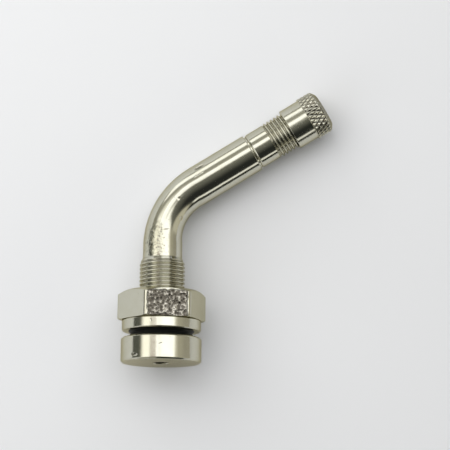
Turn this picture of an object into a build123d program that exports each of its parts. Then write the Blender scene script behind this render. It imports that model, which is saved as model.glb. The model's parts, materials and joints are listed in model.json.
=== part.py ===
# An angled clamp-in tyre valve of nickel-plated brass.
# A turned stem with a round base head is bent through nearly 60 degrees. A rubber seal, a thick washer and a
# hex nut clamp it in the rim, a spring-loaded core sits in its tip, and a knurled cap closes it.
# Lengths are millimetres. The pieces are made standing on the base, with the arm leaning over +X,
# and are then laid down as the loose valve comes to rest: on a nut corner, its elbow and its cap.
import math
import os

from build123d import *

# Base head, the round foot that stays inside the wheel
base_diameter = 16.0
base_height = 4.9
base_edge_chamfer = 0.3
air_hole_diameter = 3.1
air_hole_chamfer = 0.25

# Clamping thread, drawn at its major diameter
clamp_thread_diameter = 9.05
clamp_thread_length = 16.0
clamp_thread_taper = 1.2

# Bent tube
tube_diameter = 7.8
corner_height = 31.5
bend_angle = 59.0
bend_radius = 13.0

# Arm, measured along its axis from the corner of the bend
groove_start = 20.8
groove_width = 0.45
groove_depth = 0.25
groove_edge_chamfer = 0.15
collar_step = 0.21
collar_length = 4.05
collar_chamfer = 0.12
tip_thread_diameter = 7.7
tip_thread_length = 10.3
tip_thread_chamfer = 0.5

# Core seat inside the tip, measured down from the mouth
mouth_chamfer = 0.3
core_thread_bore = 5.4
core_thread_depth = 5.6
seat_cone_length = 1.5
chamber_bore = 4.1
chamber_length = 10.6
chamber_cone_length = 0.9

# Rim seal, washer and nut
seal_diameter = 13.1
seal_thickness = 1.35
seal_waist_depth = 0.3
seal_bore_clearance = 0.05
washer_diameter = 15.7
washer_thickness = 2.15
washer_edge_chamfer = 0.2
washer_bore_clearance = 0.15
nut_across_flats = 15.5
nut_height = 5.7
nut_chamfer_angle = 30.0
nut_top_chamfer_diameter = 14.9
nut_bottom_chamfer_diameter = 16.9
nut_bore_clearance = 0.05
nut_bore_chamfer = 0.4
nut_turn = 17.5

# Cap
cap_rim_from_mouth = 6.0
cap_rim_chamfer = 0.12
cap_bore_clearance = 0.05
skirt_wall = 0.325
skirt_length = 4.2
knurl_stand_out = 0.25
knurl_grooves = 30
knurl_angle = 30.0
knurl_flat = 0.1
knurl_root_over_skirt = 0.01
knurl_bar_lift = 0.5
cap_end_wall = 0.95
cap_end_chamfer = 0.75
cap_end_chamfer_angle = 55.0
cap_dome_height = 0.15
cap_gasket_thickness = 1.0
cap_gasket_hole = 4.0
cap_gasket_clearance = 0.25

# Valve core
core_fit = 0.02
core_thread_clearance = 0.07
plug_from_mouth = 1.0
plug_bridge_height = 1.1
plug_bridge_width = 2.4
plug_bridge_length = 4.2
plug_thread_length = 3.3
plug_chamfer = 0.25
plug_bore = 1.9
plug_lip = 0.45
swivel_clearance = 0.05
barrel_head_diameter = 3.2
barrel_head_thickness = 0.6
barrel_neck_diameter = 2.3
barrel_diameter = 3.1
barrel_wall = 0.35
barrel_length = 7.6
barrel_passage = 1.5
barrel_lip = 0.45
core_gasket_diameter = 4.5
core_gasket_length = 1.5
core_gasket_clearance = 0.05
pin_diameter = 0.9
pin_below_mouth = 0.1
pin_head_diameter = 1.5
pin_head_thickness = 0.4
pin_collar_diameter = 1.9
pin_collar_thickness = 0.4
pin_collar_below_shoulder = 1.2
pin_rivet_diameter = 1.5
pin_rivet_length = 0.35
cup_diameter = 3.2
cup_wall = 0.25
cup_floor = 0.45
cup_seal_thickness = 0.6
cup_seal_stands_out = 0.15
cup_gap = 0.02
spring_wire = 0.28
spring_turns = 4.5
spring_wire_sides = 5
spring_diameter = 1.75
spring_end_gap = 0.05

# Steps in finding how the loose valve lies, and how near two edges count as one
resting_steps = 60
same_place = 0.001

# Diameters that follow from the ones above
collar_diameter = tube_diameter - 2 * collar_step
cap_bore = tip_thread_diameter + 2 * cap_bore_clearance
skirt_diameter = cap_bore + 2 * skirt_wall
knurl_diameter = skirt_diameter + 2 * knurl_stand_out
knurl_depth = knurl_stand_out - knurl_root_over_skirt

# Places up the stem
clamp_thread_top = base_height + clamp_thread_length
washer_bottom = base_height + seal_thickness
nut_bottom = washer_bottom + washer_thickness
nut_top = nut_bottom + nut_height
bend_tangent = bend_radius * math.tan(math.radians(bend_angle / 2))
bend_start = corner_height - bend_tangent

# Places along the arm
collar_start = groove_start + groove_width
thread_start = collar_start + collar_length
mouth = thread_start + tip_thread_length
cap_rim = mouth - cap_rim_from_mouth
knurl_start = cap_rim + skirt_length
cap_inner_end = mouth + cap_gasket_thickness
cap_end = cap_inner_end + cap_end_wall
knurl_end = cap_end - cap_end_chamfer
cap_end_diameter = knurl_diameter - 2 * cap_end_chamfer * math.tan(math.radians(cap_end_chamfer_angle))
seat_top = mouth - core_thread_depth
seat_bottom = seat_top - seat_cone_length
chamber_end = seat_bottom - chamber_length

# Places in the core
bridge_top = mouth - plug_from_mouth
plug_top = bridge_top - plug_bridge_height
plug_bottom = plug_top - plug_thread_length
head_bottom = plug_bottom + plug_lip + swivel_clearance
head_top = head_bottom + barrel_head_thickness
barrel_shoulder = seat_bottom
barrel_end = barrel_shoulder - barrel_length
pin_top = mouth - pin_below_mouth
pin_collar_top = barrel_shoulder - pin_collar_below_shoulder
pin_collar_bottom = pin_collar_top - pin_collar_thickness
cup_seal_top = barrel_end - cup_gap
cup_seal_bottom = cup_seal_top - cup_seal_thickness
cup_bottom = cup_seal_bottom - cup_floor

arm_place = Location((0, 0, corner_height)) * Rotation(0, bend_angle, 0)


def turned(outline):
    """Turns a closed outline in the XZ plane, x for radius, into a solid about Z."""
    return revolve(Plane.XZ * make_face(outline), Axis.Z)


def profile(*points):
    """A closed outline through (radius, height) points."""
    return Polyline(*points, close=True)


def rod(diameter, bottom, top):
    """A plain rod about Z."""
    half = diameter / 2
    return turned(profile((0, bottom), (half, bottom), (half, top), (0, top)))


def ring(outer, inner, bottom, top):
    """A plain ring about Z, from its two diameters."""
    return turned(profile((inner / 2, bottom), (outer / 2, bottom), (outer / 2, top), (inner / 2, top)))


def round_edges(shape, diameter, height):
    """The round edges of this diameter at this height on Z."""
    circles = shape.edges().filter_by(GeomType.CIRCLE)
    level = [edge for edge in circles if abs(edge.arc_center.Z - height) < same_place]
    return [edge for edge in level if abs(edge.radius - diameter / 2) < same_place]


def bend_path():
    """The centreline of the bend."""
    turn = math.radians(bend_angle)
    end = (bend_radius * (1 - math.cos(turn)), 0, bend_start + bend_radius * math.sin(turn))
    return TangentArc((0, 0, bend_start), end, tangent=(0, 0, 1))


def make_bend(diameter):
    """A bent round bar along the bend's centreline."""
    return sweep(Plane.XY.offset(bend_start) * Circle(diameter / 2), path=bend_path())


def make_lower_stem():
    """Base head, clamping thread and the tube up to the bend."""
    base, thread, tube = base_diameter / 2, clamp_thread_diameter / 2, tube_diameter / 2
    body = turned(profile(
        (0, 0), (base, 0), (base, base_height), (thread, base_height),
        (thread, clamp_thread_top - clamp_thread_taper), (tube, clamp_thread_top),
        (tube, bend_start), (0, bend_start),
    ))
    rims = round_edges(body, base_diameter, 0) + round_edges(body, base_diameter, base_height)
    return chamfer(rims, base_edge_chamfer)


def make_arm():
    """The straight arm with its groove, collar and tip thread, about Z from the corner of the bend."""
    tube, collar, tip = tube_diameter / 2, collar_diameter / 2, tip_thread_diameter / 2
    floor = collar - groove_depth
    body = turned(profile(
        (0, bend_tangent), (tube, bend_tangent), (tube, groove_start), (floor, groove_start),
        (floor, collar_start), (collar, collar_start), (collar, thread_start - collar_chamfer),
        (collar - collar_chamfer, thread_start), (tip, thread_start),
        (tip, mouth - tip_thread_chamfer), (tip - tip_thread_chamfer, mouth), (0, mouth),
    ))
    rims = round_edges(body, tube_diameter, groove_start) + round_edges(body, collar_diameter, collar_start)
    return chamfer(rims, groove_edge_chamfer)


def make_core_hole():
    """The hole that takes the core, about Z from the corner of the bend."""
    bore, chamber, air = core_thread_bore / 2, chamber_bore / 2, air_hole_diameter / 2
    return turned(profile(
        (0, mouth), (bore + mouth_chamfer, mouth), (bore, mouth - mouth_chamfer), (bore, seat_top),
        (chamber, seat_bottom), (chamber, chamber_end), (air, chamber_end - chamber_cone_length),
        (0, chamber_end - chamber_cone_length),
    ))


def make_air_hole():
    """The air passage from the base, through the bend, to the core's chamber."""
    mouth_ring = turned(profile(
        (0, 0), (air_hole_diameter / 2 + air_hole_chamfer, 0), (air_hole_diameter / 2, air_hole_chamfer),
        (air_hole_diameter / 2, bend_start), (0, bend_start),
    ))
    straight = rod(air_hole_diameter, bend_tangent, chamber_end)
    return mouth_ring + make_bend(air_hole_diameter) + arm_place * straight


def make_stem():
    """The one-piece stem."""
    body = make_lower_stem() + make_bend(tube_diameter) + arm_place * make_arm()
    return body - make_air_hole() - arm_place * make_core_hole()


def make_rim_seal():
    """The rubber seal, its rim drawn in to a waist."""
    outer, middle = seal_diameter / 2, base_height + seal_thickness / 2
    bore = clamp_thread_diameter / 2 + seal_bore_clearance
    return turned(profile(
        (bore, base_height), (outer, base_height), (outer - seal_waist_depth, middle),
        (outer, washer_bottom), (bore, washer_bottom),
    ))


def make_flat_washer():
    bore = clamp_thread_diameter + 2 * washer_bore_clearance
    body = ring(washer_diameter, bore, washer_bottom, nut_bottom)
    rims = round_edges(body, washer_diameter, washer_bottom) + round_edges(body, washer_diameter, nut_bottom)
    return chamfer(rims, washer_edge_chamfer)


def nut_corner_radius():
    return nut_across_flats / 2 / math.cos(math.radians(30))


def nut_chamfer_drop(chamfer_diameter):
    """How far the cone of an end chamfer falls from its circle to the nut's corners."""
    return (nut_corner_radius() - chamfer_diameter / 2) * math.tan(math.radians(nut_chamfer_angle))


def make_hex_nut():
    """The hex nut, with a wide chamfer on top, a small one below and a countersunk bore."""
    corner = nut_corner_radius()
    blank = extrude(Plane.XY.offset(nut_bottom) * RegularPolygon(corner, 6, rotation=nut_turn), nut_height)
    low, high = nut_bottom_chamfer_diameter / 2, nut_top_chamfer_diameter / 2
    corner_bottom = nut_bottom + nut_chamfer_drop(nut_bottom_chamfer_diameter)
    corner_top = nut_top - nut_chamfer_drop(nut_top_chamfer_diameter)
    envelope = turned(profile(
        (0, nut_bottom), (low, nut_bottom), (corner, corner_bottom),
        (corner, corner_top), (high, nut_top), (0, nut_top),
    ))
    bore = clamp_thread_diameter / 2 + nut_bore_clearance
    wide = bore + nut_bore_chamfer
    hole = turned(profile(
        (0, nut_bottom), (wide, nut_bottom), (bore, nut_bottom + nut_bore_chamfer),
        (bore, nut_top - nut_bore_chamfer), (wide, nut_top), (0, nut_top),
    ))
    return (blank & envelope) - hole


def knurl_bar(lean):
    """A straight V bar that crosses the knurled band on its +X side, leaning from the cap's axis."""
    half_width = (knurl_pitch() - knurl_flat) / 2
    reach = knurl_depth * knurl_bar_lift
    widening = half_width * (1 + knurl_bar_lift)
    vee = make_face(profile((-knurl_depth, 0), (reach, widening), (reach, -widening)))
    bar = extrude(vee, cap_end - knurl_start, both=True)
    return Location((knurl_diameter / 2, 0, (knurl_start + cap_end) / 2), (lean, 0, 0)) * bar


def knurl_pitch():
    """From one groove of the knurl to the next, square to the grooves."""
    return math.pi * knurl_diameter / knurl_grooves * math.cos(math.radians(knurl_angle))


def many_sided(diameter):
    """A polygon around this circle, with one flat for each crest of the knurl."""
    return RegularPolygon(diameter / 2, 2 * knurl_grooves, major_radius=False, rotation=90 / knurl_grooves)


def make_knurled_head():
    """The head of the cap: a many-sided blank with a chamfered end, crossed by two sets of V grooves."""
    band = extrude(Plane.XY.offset(knurl_start) * many_sided(knurl_diameter), knurl_end - knurl_start)
    outline = Plane.XY.offset(knurl_end) * many_sided(knurl_diameter)
    end = extrude(outline, cap_end_chamfer, taper=cap_end_chamfer_angle)
    turn = 360 / knurl_grooves
    leans = (-knurl_angle, knurl_angle)
    bars = [Rotation(0, 0, turn * i) * knurl_bar(lean) for lean in leans for i in range(knurl_grooves)]
    return band + end - bars


def make_valve_cap():
    """The screw cap: a thin smooth skirt and a wider knurled head with a low point on its end."""
    skirt, rim = skirt_diameter / 2, cap_rim_chamfer
    outer = turned(profile(
        (0, cap_rim), (skirt - rim, cap_rim), (skirt, cap_rim + rim), (skirt, knurl_start), (0, knurl_start),
    ))
    point = turned(profile((0, cap_end), (cap_end_diameter / 2, cap_end), (0, cap_end + cap_dome_height)))
    return outer + make_knurled_head() + point - rod(cap_bore, cap_rim, cap_inner_end)


def make_cap_gasket():
    """The rubber ring that the cap presses on the mouth."""
    return ring(cap_bore - 2 * cap_gasket_clearance, cap_gasket_hole, mouth, cap_inner_end)


def make_core_plug():
    """The threaded plug of the core, with a bridge for the core key and a socket for the barrel's head."""
    thread = core_thread_bore - 2 * core_thread_clearance
    body = rod(thread, plug_bottom, plug_top)
    body = chamfer(round_edges(body, thread, plug_bottom) + round_edges(body, thread, plug_top), plug_chamfer)
    middle = Location((0, 0, plug_top + plug_bridge_height / 2))
    bridge = middle * Box(plug_bridge_width, plug_bridge_length, plug_bridge_height)
    socket_top = head_top + swivel_clearance
    socket = rod(barrel_head_diameter + 2 * swivel_clearance, plug_bottom + plug_lip, socket_top)
    neck = rod(barrel_neck_diameter + 2 * swivel_clearance, plug_bottom, plug_bottom + plug_lip)
    return body + bridge - socket - neck - rod(plug_bore, socket_top, bridge_top)


def make_core_barrel():
    """The barrel: a head that swivels in the plug, a neck for the gasket and a tube for the spring."""
    head, neck, tube = barrel_head_diameter / 2, barrel_neck_diameter / 2, barrel_diameter / 2
    passage = barrel_passage / 2
    room = tube - barrel_wall
    room_top = barrel_shoulder - barrel_wall
    room_bottom = barrel_end + barrel_lip
    return turned(profile(
        (passage, head_top), (head, head_top), (head, head_bottom), (neck, head_bottom),
        (neck, barrel_shoulder), (tube, barrel_shoulder), (tube, barrel_end), (passage, barrel_end),
        (passage, room_bottom), (room, room_bottom), (room, room_top), (passage, room_top),
    ))


def make_core_gasket():
    """The gasket round the barrel's neck, coned to match its seat in the stem."""
    outer, inner = core_gasket_diameter / 2, barrel_neck_diameter / 2 + core_fit
    low = chamber_bore / 2 - core_gasket_clearance
    slope = seat_cone_length / (core_thread_bore / 2 - chamber_bore / 2)
    bottom = barrel_shoulder
    top = bottom + core_gasket_length
    cone_top = bottom + (outer - low) * slope
    return turned(profile((inner, bottom), (low, bottom), (outer, cone_top), (outer, top), (inner, top)))


def make_core_pin():
    """The pin: a head to press, a collar on the spring, and a riveted end under the cup."""
    pin, head = pin_diameter / 2, pin_head_diameter / 2
    collar, rivet = pin_collar_diameter / 2, pin_rivet_diameter / 2
    under_head = pin_top - pin_head_thickness
    rivet_end = cup_bottom - pin_rivet_length
    return turned(profile(
        (0, pin_top), (head, pin_top), (head, under_head), (pin, under_head), (pin, pin_collar_top),
        (collar, pin_collar_top), (collar, pin_collar_bottom), (pin, pin_collar_bottom),
        (pin, cup_bottom), (rivet, cup_bottom), (rivet, rivet_end), (0, rivet_end),
    ))


def make_core_cup():
    """The cup on the end of the pin, which holds its seal against the barrel."""
    hole = pin_diameter + 2 * core_fit
    rim = cup_seal_top - cup_seal_stands_out
    return ring(cup_diameter, hole, cup_bottom, rim) - rod(cup_diameter - 2 * cup_wall, cup_seal_bottom, rim)


def make_core_cup_seal():
    outer = cup_diameter - 2 * cup_wall - 2 * core_fit
    return ring(outer, pin_diameter + 2 * core_fit, cup_seal_bottom, cup_seal_top)


def make_core_spring():
    """The coil spring between the pin's collar and the barrel's lip."""
    top = pin_collar_bottom - spring_end_gap - spring_wire / 2
    bottom = barrel_end + barrel_lip + spring_end_gap + spring_wire / 2
    height = top - bottom
    pitch = height / spring_turns
    coil = Helix(pitch=pitch, height=height, radius=spring_diameter / 2, center=(0, 0, bottom))
    wire = Plane(origin=coil @ 0, z_dir=coil % 0) * RegularPolygon(spring_wire / 2, spring_wire_sides)
    return sweep(wire, path=coil, is_frenet=True)


def touching_points(up):
    """Where the valve is lowest under its nut, its elbow and its cap, when this direction is up."""
    corner = Vector(nut_corner_radius(), 0).rotate(Axis.Z, nut_turn + 60)
    nut = corner + Vector(0, 0, nut_top - nut_chamfer_drop(nut_top_chamfer_diameter))
    lowest = min(max(math.atan2(-up.Z, up.X), 0), math.radians(bend_angle))
    across, along = bend_radius * (1 - math.cos(lowest)), bend_radius * math.sin(lowest)
    elbow = Vector(across, 0, bend_start + along) - up * (tube_diameter / 2)
    arm = Vector(0, 0, 1).rotate(Axis.Y, bend_angle)
    sideways = (up - arm * up.dot(arm)).normalized()
    head = Vector(0, 0, corner_height) + arm * knurl_start
    return nut, elbow, head - sideways * (knurl_diameter / 2)


def resting_up():
    """The direction that is up when the loose valve lies on its three lowest points."""
    up = Vector(0, -1, 0)
    for _ in range(resting_steps):
        nut, elbow, cap = touching_points(up)
        up = (cap - nut).cross(elbow - nut).normalized()
    return up


def main():
    on_arm = {
        "valve_cap": make_valve_cap(),
        "cap_gasket": make_cap_gasket(),
        "core_plug": make_core_plug(),
        "core_barrel": make_core_barrel(),
        "core_gasket": make_core_gasket(),
        "core_pin": make_core_pin(),
        "core_spring": make_core_spring(),
        "core_cup": make_core_cup(),
        "core_cup_seal": make_core_cup_seal(),
    }
    standing = {
        "stem": make_stem(),
        "rim_seal": make_rim_seal(),
        "flat_washer": make_flat_washer(),
        "hex_nut": make_hex_nut(),
    }
    standing.update({name: arm_place * piece for name, piece in on_arm.items()})

    up = resting_up()
    turn = Plane(origin=(0, 0, 0), x_dir=Vector(0, 0, 1).cross(up), z_dir=up).location.inverse()
    box = Compound([turn * piece for piece in standing.values()]).bounding_box()
    lay = Location((-box.center().X, -box.center().Y, -box.min.Z)) * turn

    os.makedirs("parts", exist_ok=True)
    for name, piece in standing.items():
        export_step(lay * piece, f"parts/{name}.step")
    print("up was", up, "size in mm", box.size)
    return lay, standing


if __name__ == "__main__":
    main()
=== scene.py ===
# %% [markdown]
# # A bent tyre valve
# This file dresses the solid model of a clamp-in tyre valve. The real valve is turned from brass bar,
# threaded, bent and then nickel plated. A rubber seal, a thick washer and a hex nut sit on it, and a
# knurled cap closes it. Every piece is drawn here in millimetres in its own plain axes, and then laid in
# place along the axes that the solid model's joints give, so that nothing has to be fitted by eye.

# %% Load the frame
import json
import math

import bmesh
import bpy
import numpy as np
from mathutils import Matrix, Vector


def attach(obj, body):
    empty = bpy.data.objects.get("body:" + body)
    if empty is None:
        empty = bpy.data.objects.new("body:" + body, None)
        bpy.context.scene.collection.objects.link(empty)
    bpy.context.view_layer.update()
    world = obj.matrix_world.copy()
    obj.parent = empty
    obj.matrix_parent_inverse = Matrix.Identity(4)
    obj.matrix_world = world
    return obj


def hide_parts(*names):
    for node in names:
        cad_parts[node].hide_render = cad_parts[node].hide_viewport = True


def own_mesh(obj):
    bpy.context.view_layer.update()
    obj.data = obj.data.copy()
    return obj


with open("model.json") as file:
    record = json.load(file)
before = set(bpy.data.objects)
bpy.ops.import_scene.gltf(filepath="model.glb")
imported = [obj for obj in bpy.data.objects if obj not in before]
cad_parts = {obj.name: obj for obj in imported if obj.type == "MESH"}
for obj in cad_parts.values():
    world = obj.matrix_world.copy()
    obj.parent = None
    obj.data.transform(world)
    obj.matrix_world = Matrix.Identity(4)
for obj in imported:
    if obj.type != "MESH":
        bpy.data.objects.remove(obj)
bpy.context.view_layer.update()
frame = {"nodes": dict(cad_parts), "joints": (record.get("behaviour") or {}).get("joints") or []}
print("nodes in the frame:", sorted(frame["nodes"]))

# %% [markdown]
# ## Where things are
# The nut turns about the stem and the cap turns about the arm, so those two joints give both axes. The same
# lengths as in the solid model say where each part starts. A distance "along the valve" runs up the stem,
# round the bend and out along the arm, which is how a bent tube is measured.

# %% Axes and main sizes
MM = 0.001
nut_bottom = 8.4
nut_top = 14.1
washer_bottom = 6.25
base_height = 4.9
base_radius = 8.0
washer_radius = 7.85
thread_top = 20.9
thread_taper = 1.2
thread_radius = 4.525
tube_radius = 3.9
bore_radius = 1.55
bend_radius = 13.0
corner_height = 31.5
mouth = 35.6

joints = {joint["name"]: joint for joint in frame["joints"]}
stem_axis = np.array(joints["nut_turn"]["axis"])
arm_axis = np.array(joints["cap_turn"]["axis"])
bend_angle = math.acos(stem_axis @ arm_axis)
stem_side = arm_axis - (arm_axis @ stem_axis) * stem_axis
stem_side = stem_side / np.linalg.norm(stem_side)
across = np.cross(stem_axis, stem_side)
arm_side = np.cross(across, arm_axis)
base_centre = np.array(joints["nut_turn"]["pos_m"]) - nut_bottom * MM * stem_axis
corner = np.array(joints["cap_turn"]["pos_m"]) - mouth * MM * arm_axis

bend_tangent = bend_radius * math.tan(bend_angle / 2)
bend_start = corner_height - bend_tangent
bend_end = bend_start + bend_radius * bend_angle
print("bend of", round(math.degrees(bend_angle), 2), "degrees, from", round(bend_start, 2),
      "to", round(bend_end, 2))


# %% Functions that lay points in place
def on_stem(points):
    """Points in mm about the stem's axis, from the base, as metres in the frame."""
    return base_centre + MM * (points @ np.array([stem_side, across, stem_axis]))


def on_arm(points):
    """Points in mm about the arm's axis, from the corner of the bend, as metres in the frame."""
    return corner + MM * (points @ np.array([arm_side, across, arm_axis]))


def arm_distance(length):
    """A length from the corner along the arm, as a distance along the valve."""
    return bend_end + length - bend_tangent


# %% [markdown]
# ## The bend
# A tube that is bent over a former goes slightly oval: it loses width in the plane of the bend. The stem is
# drawn straight, and this function bends it. Each point keeps its place in its own slice, and the slice
# moves to the right spot on the centreline. Only the skin goes oval, and the bore stays round.

# %% Bend a straight piece
oval_share = 0.06
oval_spread = 0.8
skin_from = 2.5


def along_valve(points):
    """Points about a straight axis, whose height is the distance along the valve, bent and in the frame."""
    distance = points[:, 2]
    turn = np.clip((distance - bend_start) / bend_radius, 0, bend_angle)
    beyond = np.maximum(distance - bend_end, 0)
    before = np.minimum(distance, bend_start)
    share = np.clip(turn / bend_angle, 0, 1)
    is_skin = np.hypot(points[:, 0], points[:, 1]) > skin_from
    squeeze = 1 - oval_share * np.sin(math.pi * share) ** oval_spread * is_skin
    sideways = points[:, 0] * squeeze
    x = bend_radius * (1 - np.cos(turn)) + beyond * np.sin(turn) + sideways * np.cos(turn)
    z = before + bend_radius * np.sin(turn) + beyond * np.cos(turn) - sideways * np.sin(turn)
    return on_stem(np.stack([x, points[:, 1], z], 1))


# %% [markdown]
# ## Camera
# The photograph looks almost straight down on the lying valve through a long lens, from a little under
# 400 mm away. The camera's place was worked out from the drawn sizes and where they fall in the picture.

# %% Set up the camera
camera_place = on_stem(np.array([[55.812, -359.953, -42.477]]))[0]
picture_axes = np.array([
    [0.99300335, 0.11773801, 0.00906082],
    [0.0135032, -0.18944284, 0.9817989],
    [0.11731156, -0.97480725, -0.18970722],
])
stem_axes = np.array([stem_side, across, stem_axis])
picture_right, picture_up, picture_back = picture_axes @ stem_axes

camera_data = bpy.data.cameras.new("camera")
camera_data.lens = 148.24
camera_data.sensor_width = 36.0
camera_data.clip_start = 0.01
camera_data.clip_end = 50.0
camera = bpy.data.objects.new("camera", camera_data)
bpy.context.scene.collection.objects.link(camera)
turned_axes = Matrix(np.array([picture_right, picture_up, picture_back]).T.tolist())
camera.matrix_world = Matrix.Translation(Vector(camera_place)) @ turned_axes.to_4x4()
bpy.context.scene.camera = camera
bpy.context.scene.view_settings.view_transform = "Standard"
print("camera is", round(math.degrees(math.asin(picture_back[2])), 1), "degrees above the horizon")

# %% [markdown]
# ## Two small helpers for nodes
# Colours are written the way a paint chart gives them, in sRGB, and Blender wants linear light, so one
# function converts them. The other adds a node, sets its properties and connects its inputs in one call. An
# input can be given by its number. A Map Range node has the value as 0, the range it comes from as 1 and 2,
# and the range it goes to as 3 and 4. A colour Mix node has the share as 0 and its colours as 6 and 7. The
# setting smooth makes a Map Range node ease in and out.


# %% Colour and node helpers
def linear(colour, strength=1.0):
    """An sRGB hex colour as linear RGBA."""
    parts = [int(colour[i:i + 2], 16) / 255 for i in (1, 3, 5)]
    light = [c / 12.92 if c <= 0.04045 else ((c + 0.055) / 1.055) ** 2.4 for c in parts]
    return [c * strength for c in light] + [1.0]


smooth = {"interpolation_type": "SMOOTHSTEP"}


def add(tree, kind, inputs=None, **settings):
    """Adds a node, with its settings, and fills or links the inputs that are given by name or number."""
    node = tree.nodes.new(kind)
    for key, value in settings.items():
        setattr(node, key, value)
    for key, value in (inputs or {}).items():
        if isinstance(value, bpy.types.Node):
            value = value.outputs[0]
        if isinstance(value, bpy.types.NodeSocket):
            tree.links.new(value, node.inputs[key])
        else:
            node.inputs[key].default_value = value
    return node


# %% [markdown]
# ## What the metal sees
# Bright metal has hardly any colour of its own. What shows is the room: a white ceiling over the table,
# dark gaps between the lamps, and the pale cloth below. The bands on the real valve give the place of each
# of these, because a round bar spreads the whole room over its width. Here the room is a list of soft-edged
# patches on the sky. Each patch is given on a map of the sky with the point over the table in the middle
# and the horizon on a circle of radius 1.

# %% List the patches of the room
room_level = 1.12
room_colour = "#a6a49a"
patches = [
    ("left wall", (-1.3, -0.57), (-0.9, 0.33), 0.07, "#5e605a", 1.0),
    ("right wall", (0.40, 0.80), (-0.5, 0.6), 0.06, "#b8b4a4", 1.0),
    ("far right wall", (0.66, 1.4), (-0.5, 0.6), 0.12, "#a5a194", 1.0),
    ("side of the table", (-0.5, 0.5), (-0.60, 0.09), 0.05, "#74746d", 1.0),
    ("dark under the table", (-0.4, 0.5), (-0.62, -0.12), 0.15, "#2c2e2c", 1.0),
    ("low dark gap", (-0.1, 0.8), (-0.95, -0.58), 0.03, "#3e3f3a", 1.0),
    ("low strip", (0.18, 0.50), (-0.68, -0.55), 0.025, "#fffefa", 1.1),
    ("wall behind", (-0.02, 0.42), (0.44, 0.85), 0.05, "#ffffff", 1.1),
    ("dark corner", (0.47, 1.3), (0.28, 1.1), 0.05, "#55534a", 1.0),
    ("right of the table", (0.56, 1.05), (-0.50, 0.08), 0.05, "#cfcbbb", 1.0),
    ("doorway", (-0.75, -0.27), (-0.62, -0.03), 0.04, "#ffffff", 1.0),
    ("left of the ceiling", (-0.52, -0.25), (0.04, 0.31), 0.08, "#fffdf6", 1.6),
    ("edge of the ceiling", (0.03, 0.46), (0.07, 0.31), 0.05, "#f4efe0", 0.85),
    ("middle of the ceiling", (-0.07, 0.37), (0.135, 0.31), 0.05, "#ffffff", 1.8),
    ("right of the ceiling", (0.03, 0.37), (0.07, 0.31), 0.05, "#ffffff", 1.8),
    ("over the arm", (-0.25, -0.05), (0.115, 0.275), 0.035, "#ffffff", 1.8),
    ("warm gap", (-0.265, -0.11), (-0.10, 0.172), 0.035, "#bcaea2", 1.0),
    ("window", (-0.62, -0.20), (0.485, 0.70), 0.035, "#ffffff", 1.6),
]
pale_background = "#e8ece5"
least_above = 0.05


# %% Build the room
def smooth_window(tree, value, low, high, soft):
    """1 between low and high, 0 outside, with soft ends."""
    rise = add(tree, "ShaderNodeMapRange", {0: value, 1: low - soft, 2: low + soft}, **smooth)
    fall = add(tree, "ShaderNodeMapRange", {0: value, 1: high + soft, 2: high - soft}, **smooth)
    return add(tree, "ShaderNodeMath", {0: rise, 1: fall}, operation="MULTIPLY")


world = bpy.data.worlds.new("room")
bpy.context.scene.world = world
world.use_nodes = True
tree = world.node_tree
tree.nodes.clear()
direction = add(tree, "ShaderNodeTexCoord").outputs["Generated"]
sky = []
for axis in (picture_right, picture_up, picture_back):
    dot = add(tree, "ShaderNodeVectorMath", {0: direction, 1: axis}, operation="DOT_PRODUCT")
    sky.append(dot.outputs["Value"])
above = add(tree, "ShaderNodeMath", {0: sky[2], 1: 1.0}, operation="ADD")
above = add(tree, "ShaderNodeMath", {0: above, 1: least_above}, operation="MAXIMUM")
map_x = add(tree, "ShaderNodeMath", {0: sky[0], 1: above}, operation="DIVIDE")
map_y = add(tree, "ShaderNodeMath", {0: sky[1], 1: above}, operation="DIVIDE")

colour = linear(room_colour, room_level)
for name, xs, ys, soft, chart, strength in patches:
    inside_x = smooth_window(tree, map_x, *xs, soft)
    inside_y = smooth_window(tree, map_y, *ys, soft)
    inside = add(tree, "ShaderNodeMath", {0: inside_x, 1: inside_y}, operation="MULTIPLY")
    mix = add(tree, "ShaderNodeMix", {0: inside, 6: colour, 7: linear(chart, room_level * strength)},
              data_type="RGBA", label=name)
    colour = mix.outputs[2]

room = add(tree, "ShaderNodeBackground", {"Color": colour, "Strength": 1.0})
backdrop = add(tree, "ShaderNodeBackground", {"Color": linear(pale_background), "Strength": 1.0})
seen = add(tree, "ShaderNodeLightPath").outputs["Is Camera Ray"]
both = add(tree, "ShaderNodeMixShader", {0: seen, 1: room, 2: backdrop})
add(tree, "ShaderNodeOutputWorld", {"Surface": both})
print("patches of the room:", len(patches))

# %% [markdown]
# ## Key lamp and floor
# One soft lamp stands at the upper left. It is near enough for the cloth to fall off towards the lower
# right, and it casts the soft shadow under the arm. It is kept out of reflections, since the patches
# already hold them.

# %% Add the key lamp
lamp_distance = 0.29
lamp_data = bpy.data.lights.new("key_lamp", "AREA")
lamp_data.shape = "SQUARE"
lamp_data.size = 0.3
lamp_data.energy = 0.43
lamp_data.color = linear("#fffefa")[:3]
lamp = bpy.data.objects.new("key_lamp", lamp_data)
bpy.context.scene.collection.objects.link(lamp)
towards_lamp = Vector(-0.46 * picture_right + 0.46 * picture_up + 0.76 * picture_back).normalized()
lamp.location = towards_lamp * lamp_distance
lamp.rotation_mode = "QUATERNION"
lamp.rotation_quaternion = towards_lamp.to_track_quat("Z", "Y")
lamp.visible_camera = False
lamp.visible_glossy = False
print("lamp at", [round(c, 3) for c in lamp.location])

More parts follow.
